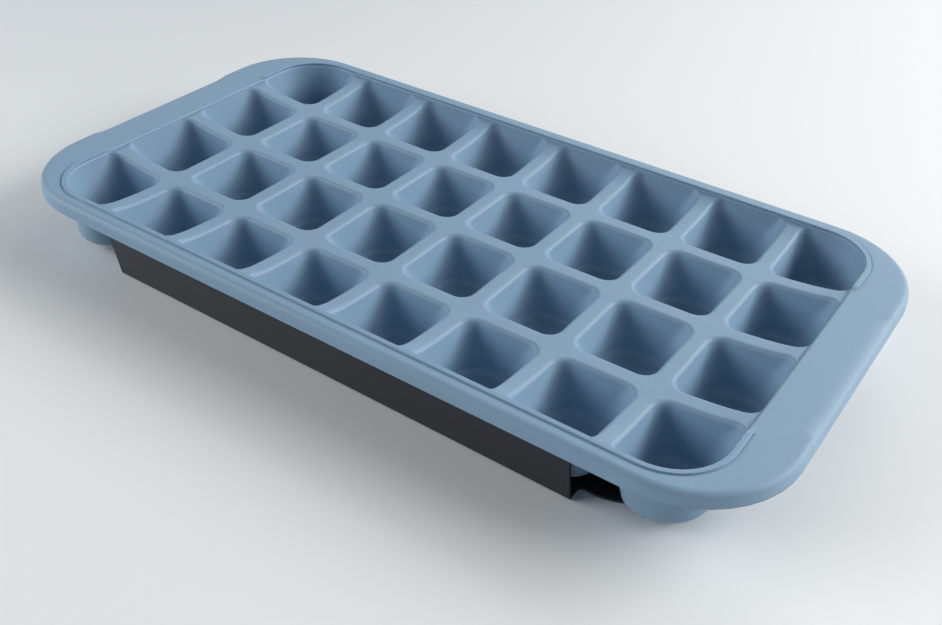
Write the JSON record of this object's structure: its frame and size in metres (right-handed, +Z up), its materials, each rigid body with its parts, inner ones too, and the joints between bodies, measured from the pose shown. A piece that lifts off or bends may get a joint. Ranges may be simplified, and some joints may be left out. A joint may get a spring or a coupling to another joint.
{
  "type": "ice cube tray",
  "caption": "Flexible silicone ice cube tray with a grid of tapered square cells, a raised rim bead and end grips, hung on a folded black support base.",
  "frame": {"origin": "on the table, under the middle of the object: the centre of the underside of the base", "axes": "+Z up, X along the longest side, from one grip to the other, Y across the tray"},
  "size_m": [0.283, 0.1494, 0.0252],
  "materials": {
    "silicone": "matt grey-blue silicone",
    "base_sheet": "smooth satin black coating"
  },
  "bodies": {
    "root": {"silicone_tray": "silicone", "support_base": "base_sheet"}
  },
  "joints": []
}
